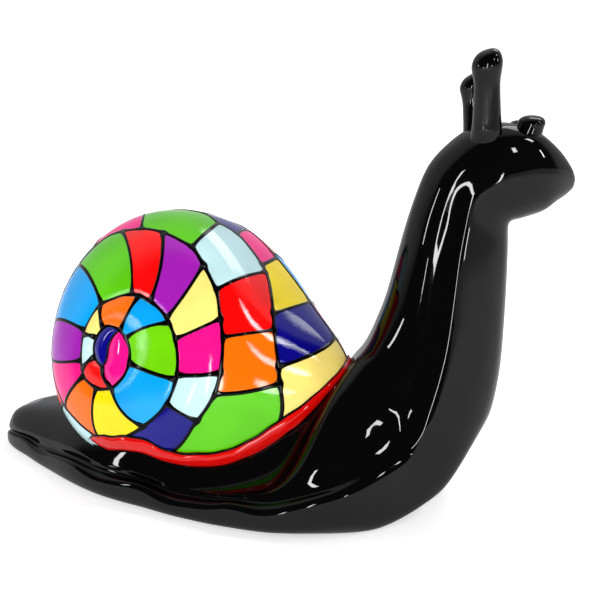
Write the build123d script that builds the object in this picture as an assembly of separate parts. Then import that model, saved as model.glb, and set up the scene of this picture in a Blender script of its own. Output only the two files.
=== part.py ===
from build123d import *
import math
import os

# A large snail figurine: a hollow black snail that carries a coiled, painted shell.
# Frame: +X runs from tail to head, +Y is the snail's left, +Z is up and the floor is at zero.
# The sizes below start at the point of the sole where the foot begins to narrow to the neck.
# At the end everything is moved so that the floor point under the middle of the box is zero.

# Body, in millimetres
tail_reach = 358
nose_reach = 271
brow_height = 376
saddle_height = 70
foot_half = 137
body_wall = 6
side_sweep_angle = 31
# Running room between pieces, and how far a cutting form passes what it cuts
seam_gap = 0.3
fit_gap = 0.3
sole_trim = 2
overrun = 3

# Foot sections, tail first: reach, back height, half width, height of the rolled rim
foot_shares = [
    (1.000, 0.29, 0.100, 0.45),
    (0.978, 0.47, 0.235, 0.42),
    (0.922, 0.59, 0.360, 0.38),
    (0.838, 0.69, 0.480, 0.34),
    (0.715, 0.83, 0.640, 0.27),
    (0.573, 0.97, 0.820, 0.21),
    (0.402, 1.00, 0.935, 0.19),
    (0.223, 0.89, 0.980, 0.20),
    (0.073, 0.94, 1.000, 0.21),
]
# Neck and head sections: belly reach and height, back reach and height, half width,
# height of the side ridge, and form, which is 0 for foot, 1 for neck and 2 for head
rise_shares = [
    (0.052, 0.000, 0.033, 0.223, 1.000, 0.23, 0.10),
    (0.173, 0.000, 0.111, 0.293, 0.970, 0.28, 0.25),
    (0.295, 0.000, 0.166, 0.340, 0.870, 0.36, 0.40),
    (0.417, 0.000, 0.207, 0.378, 0.715, 0.43, 0.60),
    (0.535, 0.008, 0.240, 0.407, 0.577, 0.47, 0.75),
    (0.620, 0.096, 0.266, 0.439, 0.547, 0.50, 0.90),
    (0.686, 0.213, 0.292, 0.484, 0.496, 0.52, 1.00),
    (0.723, 0.348, 0.325, 0.550, 0.445, 0.54, 1.00),
    (0.734, 0.479, 0.354, 0.633, 0.400, 0.55, 1.00),
    (0.738, 0.598, 0.384, 0.723, 0.365, 0.56, 1.00),
    (0.738, 0.697, 0.421, 0.814, 0.328, 0.56, 1.00),
    (0.738, 0.747, 0.454, 0.894, 0.312, 0.56, 1.20),
    (0.771, 0.755, 0.513, 0.949, 0.312, 0.54, 1.50),
    (0.812, 0.761, 0.598, 0.989, 0.310, 0.52, 1.80),
    (0.856, 0.769, 0.716, 1.000, 0.296, 0.50, 2.00),
    (0.904, 0.779, 0.815, 0.987, 0.266, 0.50, 2.00),
    (0.945, 0.787, 0.904, 0.947, 0.212, 0.48, 2.00),
    (0.978, 0.798, 0.963, 0.902, 0.160, 0.46, 2.00),
    (1.000, 0.811, 0.996, 0.867, 0.095, 0.45, 2.00),
]
# Where the points of a section's outline fall along its curve, from belly to back
outline_pace_shares = [0, 0.17, 0.31, 0.42, 0.50, 0.57, 0.67, 0.82, 1]
# Sections, counted in the two lists together, between which the body is hollow
hollow_first_count = 3
hollow_last_count = 25

# Shell: rings about an axis that points at the spire, on the snail's right
shell_back = 139.5
shell_side = 6
shell_rise = 114
shell_span = 157
spire_height = 110
far_height = 106
apex_radius = 210
flare_reach = 55
shell_floor = 42
shell_wall = 5
axis_back_angle = 13
axis_up_angle = 18.2
flare_width_angle = 27.5
flare_tau_angle = 107
flare_tau_width_angle = 35
ring_power_share = 1.9
# Ring radius every 30 degrees, from straight down through front, top and back
ring_shares = [0.545, 0.586, 0.745, 0.889, 0.879, 0.917, 1.0, 1.025, 0.987, 0.86, 0.745, 0.624]
ring_step_angle = 30
ring_angles = [4, 13, 24, 36, 48, 60, 71, 81, 90, 99, 108, 118, 130, 142, 154, 166, 175]

# Raised whorl: tau of its seam every quarter turn, from the middle of the spiral outwards
seam_angles = [4.9, 6.1, 6.9, 8.0, 9.8, 12.7, 17.3, 23.8, 31.9, 39.8, 44.2, 43.2, 38.5]
whorl_first_count = 4
whorl_steps_count = 3
groove_width = 1.2
whorl_edge = 0.8
whorl_crown = 2.6
whorl_root = 4

# Strip inside the joint of the two shell halves
joint_half_width = 12
joint_thick = 3

# Red collar: tau and angle of its middle line, from the right rear round the front
collar_angles = [
    (35, -106), (32.4, -90), (34.9, -74), (42.2, -60), (54.9, -48.3), (72.7, -38.8),
    (83.7, -29.4), (86.4, -20.6), (86.7, -12.6), (88, -4.1), (93, 2.8), (104.3, 9),
    (114.8, 12.2), (129.1, 11.6), (137.4, 5.2), (141.4, -3.3), (146.1, -10.4),
    (153.5, -16), (160.2, -22.4), (166.5, -32.6), (171.4, -60.7), (172.6, -111.1),
    (165.9, -142.8),
]
collar_half_height = 8
collar_half_thick = 5.5
collar_taper_shares = [0.2, 0.6, 0.9]

# Tentacles: place on the head, root and tip height, lean forwards and to the left, radii
long_reach = 173
long_spread = 20
long_root = 346
right_tip = 452
left_tip = 421
right_lean = 7
left_lean = 10
long_lean_back = 5
stalk_radius = 14.5
stem_radius = 12.5
knob_radius = 13.5
short_reach = 215
short_spread = 15
short_root = 345
short_tip = 385
short_lean = 9
short_splay = 3
short_radius = 11
# Heights of the radii along a tentacle, whose crown is cut aslant and rounded
stalk_shares = [0, 0.35, 0.68, 0.9, 1.3]
crown_tilt_angle = 20
crown_round_share = 0.5
pin_radius = 2
long_pin = 45
short_pin = 24
pin_foot = 4

# Cover under the body, its pads, blocks and screws
pad_thick = 3
pad_radius = 17
plate_thick = 8
plate_share = 0.92
plate_draw_share = 0.25
plate_last_count = 12
block_length = 40
block_width = 34
block_height = 24
screw_radius = 2.25
screw_head_radius = 4.5
screw_head_height = 3
screw_length = 24
hole_slack = 0.15
# Places as a share of the tail reach and of the half width of the foot there
block_shares = [(-0.64, 0.60), (-0.31, 0.90), (0.08, 0.94)]
pad_shares = [(-0.70, 0.22), (-0.33, 0.50), (0.08, 0.52)]

# Bolts that hold the shell down, with places from the shell's centre as shares of its span
bolt_radius = 4
bolt_head_radius = 7.5
bolt_head_height = 5.3
bolt_tail = 3
washer_radius = 11
washer_thick = 1.6
nut_height = 6.5
bolt_shares = [(-0.29, -0.46), (0.03, -0.46), (-0.16, 0.18), (0.28, 0.18)]

plate_top = pad_thick + plate_thick
floor_span = 2 * (tail_reach + nose_reach)
shell_centre = Vector(-shell_back, shell_side, shell_rise)


def smooth_between(values, part):
    """Value between the middle two of four neighbours, on a smooth curve through all."""
    before, here, after, later = values
    bend = (after - before) / 2
    next_bend = (later - here) / 2
    return (here * (2 * part**3 - 3 * part**2 + 1) + bend * (part**3 - 2 * part**2 + part)
            + after * (3 * part**2 - 2 * part**3) + next_bend * (part**3 - part**2))


def four_around(rows, at):
    last = len(rows) - 1
    return [rows[min(max(at + k, 0), last)] for k in (-1, 0, 1, 2)]


def biggest(shape):
    return max(shape.solids(), key=lambda solid: solid.volume)


def block_between(low, high):
    """Box from its lowest to its highest corner."""
    size = Vector(*high) - Vector(*low)
    middle = (Vector(*high) + Vector(*low)) * 0.5
    return Pos(middle) * Box(size.X, size.Y, size.Z)


def all_below(level):
    return block_between((-floor_span, -floor_span, -floor_span), (floor_span, floor_span, level))


def upright(place, low, high, radius):
    return Pos(place[0], place[1], (low + high) / 2) * Cylinder(radius, high - low)


def hexagon(place, low, high, radius):
    return extrude(Pos(place[0], place[1], low) * RegularPolygon(radius, 6), high - low)


def rod_between(start, end, radius):
    return Solid.make_cylinder(radius, (end - start).length, Plane(origin=start, z_dir=end - start))


# Body

def plan_place(reach, height):
    """A point of the mid surface, which is straight in the foot and sweeps left in the neck."""
    swing = math.radians(side_sweep_angle * max(reach, 0) / nose_reach)
    return Vector(reach * math.cos(swing), reach * math.sin(swing), height)


def heading_at(reach):
    """Angle in which the snail faces at a reach along the mid surface."""
    swing = math.radians(side_sweep_angle * max(reach, 0) / nose_reach)
    return swing + math.atan(swing)


def outline_shares(form, rim):
    """Half outline of a section, belly to back, in shares of half width and height."""
    flank = rim + (1 - rim) * 0.58
    foot = [(0, 0), (0.42, 0), (0.78, 0), (0.975, 0.22 * rim), (1, rim),
            (0.935, 1.7 * rim), (0.88, flank), (0.56, 0.93), (0, 1)]
    neck = [(0, 0), (0.42, 0.025), (0.74, 0.14), (0.94, 0.33), (1, rim),
            (0.93, rim + 0.12), (0.76, rim + 0.27), (0.42, 0.95), (0, 1)]
    head = [(0, 0), (0.36, 0.02), (0.70, 0.12), (0.92, 0.30), (1, rim),
            (0.95, rim + 0.17), (0.74, rim + 0.33), (0.40, 0.965), (0, 1)]
    first, second, mix = (foot, neck, form) if form <= 1 else (neck, head, form - 1)
    return [(a[0] * (1 - mix) + b[0] * mix, a[1] * (1 - mix) + b[1] * mix)
            for a, b in zip(first, second)]


def stations():
    """All sections as belly point, back point, half width, heading, rim share and form."""
    rows = []
    for along, high, wide, rim in foot_shares:
        reach = -along * tail_reach
        rows.append((plan_place(reach, 0), plan_place(reach, high * saddle_height),
                     wide * foot_half, 0, rim, 0))
    for belly, low, back, high, wide, rim, form in rise_shares:
        heading = heading_at((belly + back) / 2 * nose_reach)
        rows.append((plan_place(belly * nose_reach, low * brow_height),
                     plan_place(back * nose_reach, high * brow_height),
                     wide * foot_half, heading, rim, form))
    return rows


def closer_stations(rows):
    """The sections with one more between each two, so that the skin runs evenly."""
    closer = []
    for at in range(len(rows) - 1):
        closer.append(rows[at])
        near = four_around(rows, at)
        closer.append(tuple(smooth_between([row[k] for row in near], 0.5) for k in range(6)))
    return closer + [rows[-1]]


def half_section(row, side, inset, sole_drop, seam):
    """Closed half section on one side of the mid surface, drawn in by inset."""
    belly, back, half, heading, rim, form = row
    up = (back - belly).normalized()
    across = Vector(-math.sin(heading), math.cos(heading), 0) * side
    across = (across - up * across.dot(up)).normalized()
    on_floor = belly.Z < sole_trim
    foot_point = belly - Vector(0, 0, sole_drop) if on_floor else belly + up * inset
    top_point = back - up * inset
    height = (top_point - foot_point).length
    up = (top_point - foot_point).normalized()
    points = []
    for wide, high in outline_shares(form, rim):
        lateral = wide * (half - inset) if wide > 0 else seam
        points.append(foot_point + across * lateral + up * (high * height))
    curve = Edge.make_spline(points, tangents=[across, across * -1], parameters=outline_pace_shares)
    return Wire([curve, Line(points[-1], points[0])])


def half_body(side, inset, sole_drop, first=0, last=None, seam=seam_gap / 2):
    """One half of the body's form, from section first to the one before last."""
    rows = closer_stations(stations()[first:last])
    return Solid.make_loft([half_section(row, side, inset, sole_drop, seam) for row in rows])


def hollow(side, inset):
    """The room inside one half, past the sole and past the joint."""
    return half_body(side, inset, body_wall, hollow_first_count, hollow_last_count, -overrun)


# Shell

def shell_axes():
    """Directions to the spire, to the front and to the top of a ring."""
    back_turn = math.radians(axis_back_angle)
    up_turn = math.radians(axis_up_angle)
    spire = Vector(-math.sin(back_turn) * math.cos(up_turn),
                   -math.cos(back_turn) * math.cos(up_turn), math.sin(up_turn))
    front = Vector(math.cos(back_turn), -math.sin(back_turn), 0)
    return spire, front, spire.cross(front)


spire_axis, front_axis, top_axis = shell_axes()


def ring_radius(angle):
    """Radius of the widest ring at any angle, by a smooth curve through the listed shares."""
    count = len(ring_shares)
    place = ((angle + 90) / ring_step_angle) % count
    at = int(place)
    near = [ring_shares[(at + k) % count] for k in (-1, 0, 1, 2)]
    return smooth_between(near, place - at) * shell_span


def shell_place(tau, angle, grow=0):
    """A point of the dome: tau runs from 0 at the spire to 180 at the far side."""
    t = math.radians(tau)
    a = math.radians(angle)
    blend = math.sin(t) ** ring_power_share
    wrapped = (angle + 180) % 360 - 180
    flare = flare_reach * math.exp(-(wrapped / flare_width_angle) ** 2)
    flare *= math.exp(-((tau - flare_tau_angle) / flare_tau_width_angle) ** 2)
    radius = (apex_radius * (1 - blend) + ring_radius(angle) * blend + grow) * math.sin(t) + flare
    height = ((spire_height if tau <= 90 else far_height) + grow) * math.cos(t)
    outward = front_axis * math.cos(a) + top_axis * math.sin(a)
    return shell_centre + spire_axis * height + outward * radius


def dome(grow):
    """The shell's smooth form, larger by grow, with a flat floor."""
    rings = []
    for tau in ring_angles:
        points = [shell_place(tau, ring_step_angle * k - 90, grow) for k in range(len(ring_shares))]
        pace = [k / len(points) for k in range(len(points) + 1)]
        rings.append(Wire([Edge.make_spline(points, periodic=True, parameters=pace)]))
    return biggest(Solid.make_loft(rings) - all_below(shell_floor - grow))


def seam_tau(quarter):
    at = min(int(quarter), len(seam_angles) - 2)
    return smooth_between(four_around(seam_angles, at), quarter - at)


def lifted(tau, angle, lift):
    """A dome point moved out along the surface's normal."""
    slope = shell_place(tau + 0.5, angle) - shell_place(tau - 0.5, angle)
    a = math.radians(angle)
    round_way = top_axis * math.cos(a) - front_axis * math.sin(a)
    return shell_place(tau, angle) + slope.cross(round_way).normalized() * lift


def whorl_section(quarter, grow):
    """Crowned strip of the dome between the seam one turn in and the seam itself."""
    angle = -90 - 90 * (quarter - (len(seam_angles) - 1))
    margin = math.degrees((groove_width / 2 - grow) / apex_radius)
    inner = seam_tau(quarter - 4) + margin
    outer = seam_tau(quarter) - margin
    width = math.radians(outer - inner) * apex_radius
    crown = whorl_edge + whorl_crown * min(width / (spire_height / 2), 1)
    top = [lifted(inner, angle, whorl_edge + grow), lifted((inner + outer) / 2, angle, crown + grow),
           lifted(outer, angle, whorl_edge + grow)]
    low = [lifted(inner, angle, -whorl_root), lifted(outer, angle, -whorl_root)]
    return Wire([ThreePointArc(*top), Line(top[2], low[1]), Line(low[1], low[0]), Line(low[0], top[0])])


def whorl(grow=0):
    """The raised strip that winds out from the middle of the spiral."""
    count = (len(seam_angles) - 1 - whorl_first_count) * whorl_steps_count
    return Solid.make_loft([whorl_section(whorl_first_count + k / whorl_steps_count, grow)
                            for k in range(count + 1)])


def spire_side(offset):
    """Half space on the spire's side of the plane in which the two shell halves meet."""
    plane = Plane(origin=shell_centre + spire_axis * offset, z_dir=spire_axis)
    return plane * Pos(0, 0, floor_span / 2) * Box(2 * floor_span, 2 * floor_span, floor_span)


def shell_pieces():
    wall = biggest(dome(0) + whorl()) - dome(-shell_wall)
    band = dome(-shell_wall - fit_gap) - dome(-shell_wall - fit_gap - joint_thick)
    band = (band & spire_side(-joint_half_width)) - spire_side(joint_half_width)
    spire_half = biggest(wall & spire_side(seam_gap / 2))
    far_half = biggest(wall - spire_side(-seam_gap / 2))
    return spire_half, far_half, biggest(band)


# Collar

def collar_form(grow):
    """Lip of oval section laid along the foot of the shell, thin at both rear ends."""
    line = [shell_place(tau, angle) for tau, angle in collar_angles]
    last = len(line) - 1
    rings = []
    for at, point in enumerate(line):
        along = (line[min(at + 1, last)] - line[max(at - 1, 0)]).normalized()
        outward = point - shell_centre
        outward = (outward - along * outward.dot(along)).normalized()
        from_end = min(at, last - at)
        taper = collar_taper_shares[from_end] if from_end < len(collar_taper_shares) else 1
        oval = Ellipse(collar_half_thick * taper + grow, collar_half_height * taper + grow)
        rings.append((Plane(origin=point, x_dir=outward, z_dir=along) * oval).wire())
    return Solid.make_loft(rings)


# Tentacles

def stalk(reach, lateral, root, tip, lean, radii):
    """Round stalk from inside the head to a knob whose crown slopes back, with its axis."""
    heading = heading_at(reach)
    forward = Vector(math.cos(heading), math.sin(heading), 0)
    across = Vector(-math.sin(heading), math.cos(heading), 0)
    foot = plan_place(reach, root) + across * lateral
    top = plan_place(reach, tip) + across * (lateral + lean[1]) + forward * lean[0]
    length = (top - foot).length
    axis = (top - foot).normalized()
    side = [(radius, length * share) for radius, share in zip(radii, stalk_shares)]
    edges = [Spline(*side, tangents=[(0, 1), (0, 1)]), Line(side[-1], (0, side[-1][1])),
             Line((0, side[-1][1]), (0, 0)), Line((0, 0), side[0])]
    profile = Plane.XZ * Face(Wire(edges))
    form = Plane(origin=foot, x_dir=across, z_dir=axis) * revolve(profile, Axis.Z)
    tilt = math.radians(crown_tilt_angle)
    crown = Plane(origin=top, x_dir=across, z_dir=axis * math.cos(tilt) - forward * math.sin(tilt))
    form = biggest(form - crown * Pos(0, 0, length / 2) * Box(length, length, length))
    rim = form.edges().filter_by(GeomType.ELLIPSE) + form.edges().filter_by(GeomType.BSPLINE)
    rim = [edge for edge in rim if abs(crown.to_local_coords(edge.center()).Z) < seam_gap]
    return biggest(fillet(rim, crown_round_share * radii[-1])), foot, axis


def tentacle_pieces(heads):
    """The four tentacles cut to the head, their pins, and the holes that the pins sit in."""
    long_radii = [stalk_radius, stalk_radius, stem_radius, knob_radius, knob_radius]
    stub_radii = [short_radius] * len(stalk_shares)
    kinds = [
        ("long_tentacle_right", long_reach, -long_spread, long_root, right_tip,
         (-long_lean_back, -right_lean), long_radii, long_pin),
        ("long_tentacle_left", long_reach, long_spread, long_root, left_tip,
         (-long_lean_back, left_lean), long_radii, long_pin),
        ("short_tentacle_right", short_reach, -short_spread, short_root, short_tip,
         (short_lean, -short_splay), stub_radii, short_pin),
        ("short_tentacle_left", short_reach, short_spread, short_root, short_tip,
         (short_lean, short_splay), stub_radii, short_pin),
    ]
    pieces, pins, holes = {}, [], []
    for name, reach, lateral, root, tip, lean, radii, length in kinds:
        form, foot, axis = stalk(reach, lateral, root, tip, lean, radii)
        start = foot - axis * pin_foot
        end = foot + axis * length
        pins.append(rod_between(start, end, pin_radius))
        holes.append(rod_between(start, end + axis * hole_slack, pin_radius + hole_slack))
        pieces[name] = biggest(form - heads[0] - heads[1] - holes[-1])
    return pieces, pins, holes


# Underside

def foot_half_at(along):
    """Half width of the foot at a share of the tail reach, negative towards the tail."""
    rows = stations()[:plate_last_count]
    reach = along * tail_reach
    for before, after in zip(rows, rows[1:]):
        if before[0].X <= reach <= after[0].X:
            part = (reach - before[0].X) / (after[0].X - before[0].X)
            return before[2] + (after[2] - before[2]) * part
    return rows[-1][2]


def place_under(along, across_share, side):
    """Plan place at a share of the tail reach and a share of the inner half width."""
    return (along * tail_reach, side * across_share * (foot_half_at(along) - body_wall))


def cover_form():
    """Leaf-shaped plate that fills the sole between the walls."""
    right, left = [], []
    for belly, back, half, heading, rim, form in stations()[hollow_first_count:plate_last_count]:
        across = Vector(-math.sin(heading), math.cos(heading), 0)
        across = across * plate_share * (1 - plate_draw_share * form) * (half - body_wall)
        middle = Vector(belly.X, belly.Y, pad_thick)
        right.append(middle - across)
        left.append(middle + across)
    edges = [Spline(*right), Line(right[-1], left[-1]), Spline(*left), Line(left[0], right[0])]
    return extrude(Face(Wire(edges)), plate_thick)


def cone_at(place, radius, far_radius):
    plane = Plane(origin=(place[0], place[1], pad_thick))
    return Solid.make_cone(radius, far_radius, screw_head_height, plane)


def underside_pieces():
    plate = cover_form()
    blocks, screws, pads = [], [], []
    for side in (-1, 1):
        room = hollow(side, body_wall + fit_gap) - dome(body_wall + 2 * fit_gap)
        for along, across_share in block_shares:
            x, y = place_under(along, across_share, side)
            inner = y - side * block_width / 2
            outer = side * foot_half
            box = block_between((x - block_length / 2, min(inner, outer), plate_top),
                                (x + block_length / 2, max(inner, outer), plate_top + block_height))
            place = (x, y - side * block_width / 4)
            tip = pad_thick + screw_length
            hole = upright(place, 0, tip + hole_slack, screw_radius + hole_slack)
            sink = cone_at(place, screw_head_radius + hole_slack, screw_radius + hole_slack)
            head = cone_at(place, screw_head_radius, screw_radius)
            screws.append(head + upright(place, pad_thick + screw_head_height, tip, screw_radius))
            blocks.append(biggest((box & room) - hole))
            plate = plate - hole - sink
        for along, across_share in pad_shares:
            pads.append(upright(place_under(along, across_share, side), 0, pad_thick, pad_radius))
    return {"base_plate": biggest(plate), "rim_blocks": blocks, "base_screws": screws,
            "floor_pads": pads}


# Bolts of the shell

def bolt_pieces():
    """Bolts, washers and nuts through the shell's floor, and the bores that they pass."""
    seat = shell_floor + shell_wall + washer_thick
    nest_under = shell_floor - fit_gap - body_wall
    under = nest_under - washer_thick
    low = under - nut_height
    bolts, washers, nuts, bores = [], [], [], []
    for along, across in bolt_shares:
        place = (shell_centre.X + along * shell_span, shell_centre.Y + across * shell_span)
        bore = upright(place, low - bolt_tail, seat, bolt_radius + hole_slack)
        head = hexagon(place, seat, seat + bolt_head_height, bolt_head_radius)
        bolts.append(head + upright(place, low - bolt_tail, seat, bolt_radius))
        washers.append(upright(place, seat - washer_thick, seat, washer_radius) - bore)
        washers.append(upright(place, under, nest_under, washer_radius) - bore)
        nuts.append(hexagon(place, low, under, bolt_head_radius) - bore)
        bores.append(bore)
    return {"shell_bolts": bolts, "bolt_washers": washers, "bolt_nuts": nuts}, bores


def without(shape, cuts):
    for cut in cuts:
        shape = shape - cut
    return biggest(shape)


def make_pieces():
    """All pieces by name, each one solid or a list of alike solids."""
    outers = [half_body(side, 0, sole_trim) for side in (-1, 1)]
    pieces, pins, pin_holes = tentacle_pieces(outers)
    bolts, bores = bolt_pieces()
    whorl_room = whorl(fit_gap)
    nest = dome(fit_gap)
    thick_nest = dome(body_wall + fit_gap)
    pieces["mantle_collar"] = biggest(collar_form(0) - nest - whorl_room)
    shared = [nest, whorl_room, collar_form(fit_gap), all_below(0)] + bores + pin_holes
    for name, side, outer in zip(("body_right_half", "body_left_half"), (-1, 1), outers):
        room = biggest(hollow(side, body_wall) - thick_nest)
        pieces[name] = without(outer, [room] + shared)
    spire_half, far_half, band = shell_pieces()
    pieces["shell_spire_half"] = without(spire_half, bores)
    pieces["shell_far_half"] = without(far_half, bores)
    pieces["shell_joint_ring"] = band
    pieces["tentacle_pins"] = pins
    pieces.update(underside_pieces())
    pieces.update(bolts)
    return pieces


def as_shape(piece):
    return Compound([biggest(item) for item in piece]) if isinstance(piece, list) else piece


def main():
    shapes = {name: as_shape(piece) for name, piece in make_pieces().items()}
    box = Compound(list(shapes.values())).bounding_box()
    shift = Vector(-(box.min.X + box.max.X) / 2, -(box.min.Y + box.max.Y) / 2, 0)
    os.makedirs("parts", exist_ok=True)
    for name, shape in shapes.items():
        export_step(shape.moved(Location(shift)), "parts/" + name + ".step")
    print("shift", shift, "size", box.size)


main()
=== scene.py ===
import math

import bpy
import numpy as np
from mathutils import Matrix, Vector
from mathutils.bvhtree import BVHTree


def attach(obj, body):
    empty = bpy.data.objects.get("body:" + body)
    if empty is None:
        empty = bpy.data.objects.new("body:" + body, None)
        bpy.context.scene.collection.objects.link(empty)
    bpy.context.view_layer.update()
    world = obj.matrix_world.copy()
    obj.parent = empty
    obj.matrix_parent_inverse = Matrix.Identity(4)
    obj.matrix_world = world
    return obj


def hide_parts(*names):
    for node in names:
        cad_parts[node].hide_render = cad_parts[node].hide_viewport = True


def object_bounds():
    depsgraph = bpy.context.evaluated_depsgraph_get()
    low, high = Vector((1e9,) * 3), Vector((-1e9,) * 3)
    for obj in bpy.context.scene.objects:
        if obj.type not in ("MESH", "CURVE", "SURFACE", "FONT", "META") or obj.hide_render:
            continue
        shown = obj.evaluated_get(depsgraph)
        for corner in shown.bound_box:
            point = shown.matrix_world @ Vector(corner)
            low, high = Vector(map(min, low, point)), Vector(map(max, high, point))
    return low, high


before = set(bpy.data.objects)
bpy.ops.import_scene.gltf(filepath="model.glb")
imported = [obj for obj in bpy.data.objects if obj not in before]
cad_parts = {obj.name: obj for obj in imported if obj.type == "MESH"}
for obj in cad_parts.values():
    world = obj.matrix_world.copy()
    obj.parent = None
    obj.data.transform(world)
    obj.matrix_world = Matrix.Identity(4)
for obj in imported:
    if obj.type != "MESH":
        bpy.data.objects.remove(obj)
cad_low, cad_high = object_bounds()

# Places are in millimetres in the snail's own frame, as in its solids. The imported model
# stands moved by this much, and is in metres.
metre = 0.001
shift = np.array([57.4, -3.717, 0.0])

# Camera: turn round the object, height angle, distance, and focal length in picture pixels
picture_size = 600
picture_centre = 300
view_turn_angle = 26
view_high_angle = 15
view_distance = 1350
view_focal_pixels = 1353
view_target = np.array([0.0, 0.0, 198.0])
sensor_width = 36

# Body, nearly as in the solids
tail_reach = 358
nose_reach = 271
brow_height = 376
saddle_height = 70
foot_half = 137
side_sweep_angle = 31
# Sections of the foot from the tail: reach, height, half width, and place of the widest point
foot_shares = [
    (1.000, 0.29, 0.100, 0.45), (0.978, 0.47, 0.235, 0.42), (0.922, 0.59, 0.360, 0.38),
    (0.838, 0.69, 0.480, 0.34), (0.715, 0.83, 0.640, 0.27), (0.573, 0.97, 0.820, 0.21),
    (0.402, 1.00, 0.935, 0.19), (0.223, 0.89, 0.980, 0.20), (0.073, 0.94, 1.000, 0.21),
]
# Sections of the neck and head: reach and height of the belly and of the back, half width,
# place of the widest point, and form, from 0 for a foot to 1 for a neck and 2 for a head
rise_shares = [
    (0.052, 0.000, 0.033, 0.223, 1.000, 0.23, 0.10), (0.173, 0.000, 0.111, 0.293, 0.970, 0.28, 0.25),
    (0.295, 0.000, 0.166, 0.340, 0.870, 0.36, 0.40), (0.417, 0.000, 0.207, 0.378, 0.715, 0.43, 0.60),
    (0.535, 0.008, 0.240, 0.407, 0.577, 0.47, 0.75), (0.620, 0.096, 0.266, 0.439, 0.547, 0.50, 0.90),
    (0.686, 0.213, 0.292, 0.484, 0.496, 0.52, 1.00), (0.723, 0.348, 0.325, 0.550, 0.445, 0.54, 1.00),
    (0.734, 0.479, 0.354, 0.633, 0.400, 0.55, 1.00), (0.738, 0.598, 0.384, 0.723, 0.365, 0.56, 1.00),
    (0.738, 0.697, 0.421, 0.814, 0.328, 0.56, 1.00), (0.738, 0.747, 0.466, 0.894, 0.312, 0.56, 1.20),
    (0.771, 0.755, 0.535, 0.949, 0.312, 0.54, 1.50), (0.812, 0.761, 0.620, 0.989, 0.310, 0.52, 1.80),
    (0.856, 0.769, 0.724, 1.000, 0.296, 0.50, 2.00), (0.892, 0.786, 0.804, 0.987, 0.266, 0.50, 2.00),
    (0.926, 0.798, 0.884, 0.945, 0.212, 0.48, 2.00), (0.957, 0.812, 0.939, 0.899, 0.160, 0.46, 2.00),
    (0.977, 0.825, 0.970, 0.868, 0.095, 0.45, 2.00),
]
outline_pace_shares = [0, 0.17, 0.31, 0.40, 0.45, 0.50, 0.54, 0.58, 0.67, 0.82, 1]
station_steps = 6
outline_steps = 56
end_round = 9
end_least_share = 0.03
end_middle_share = 0.45
skin_softening = 4
# Form at which a section has lost the foot's rolled rim
rim_end_form = 0.6
# Where round a section the rim, the dip above it and the groove lie
rim_share = 0.49
rim_width_share = 0.07
dip_share = 0.60
groove_share = 0.61
foot_dip = 2.5
foot_dip_wave_share = 0.4
foot_dip_width_share = 0.03
neck_dip = 2.6
neck_dip_width_share = 0.055
# Waves of the rim on the right (-1) and on the left (1): rise, length, and place of a crest
rim_waves = {
    -1: [(3.4, 99, 343), (1.02, 49.5, 355.375), (0.7, 56.5487, 14.1372)],
    1: [(2.4, 163.3628, -11.1593), (1.6, 81.6814, 15.2204)],
}
# The right flank runs from the groove behind the rim up to the collar, along this reach
flank_start = -215
flank_stop = 62
flank_fade = 42
flank_drop = 5
flank_least = 10
flank_side_fade = 30
# Sideways place beyond which the collar's line counts as the right side
right_side = -4
foot_line_step = 3
foot_line_softening = 6
# The flank is nearly straight near the tail and hollow near the neck
flank_straight = 1.15
flank_hollow = 2.2
flank_turn_reach = -70
flank_turn_length = 75
# Swellings of the head by the stalks and dents of the mouth and nostril: reach, sideways
# place, height, size and rise, and how far back and down the point lies that they rise from
head_swells = [
    (180, -22, 343, 14, 3, 0, 35), (207, -13, 352, 17, 3, 0, 35), (192, -15, 357, 12, 4, 0, 35),
    (265, -3, 307, 4.5, -5, 30, 0), (260, -10, 306, 4.5, -3.5, 30, 0), (257, -14, 322, 3, -2, 30, 0),
]
# The underside rises off the floor at the front right: where it begins, over which length,
# how high, and up to which height of the body it is felt
front_lift_start = 106
front_lift_length = 90
front_lift = 40
front_lift_reach = 95
# Height under which the shell is out of sight inside the body
hidden_height = 36

# Shell, as in the solids, with whorls that are raised between their seams
shell_centre = np.array([-139.5, 6.0, 114.0])
shell_span = 157
spire_height = 110
far_height = 106
apex_radius = 210
flare_reach = 55
axis_back_angle = 13
axis_up_angle = 18.2
flare_width_angle = 27.5
flare_tau_angle = 107
flare_tau_width_angle = 35
ring_power_share = 1.9
ring_shares = np.array([0.545, 0.586, 0.745, 0.889, 0.879, 0.917, 1.0, 1.025, 0.987, 0.86, 0.745,
                        0.624])
whorl_edge = 0.8
whorl_crown = 2.6
# Turns at which crown and edge of the whorls fade, and over how many turns
crown_fade_turn = 1.75
edge_fade_turn = 2.4
whorl_fade_turns = 0.5
# The crown grows from the middle of the spiral
crown_grow_turn = -0.6
crown_grow_turns = 1.2
crown_least_share = 0.35
middle_crown = 2.2
# The shell's foot spreads above the collar on the right
skirt_reach = 38
skirt_angle = -38
skirt_width_angle = 26
skirt_tau = 80
skirt_tau_width = 30

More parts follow.
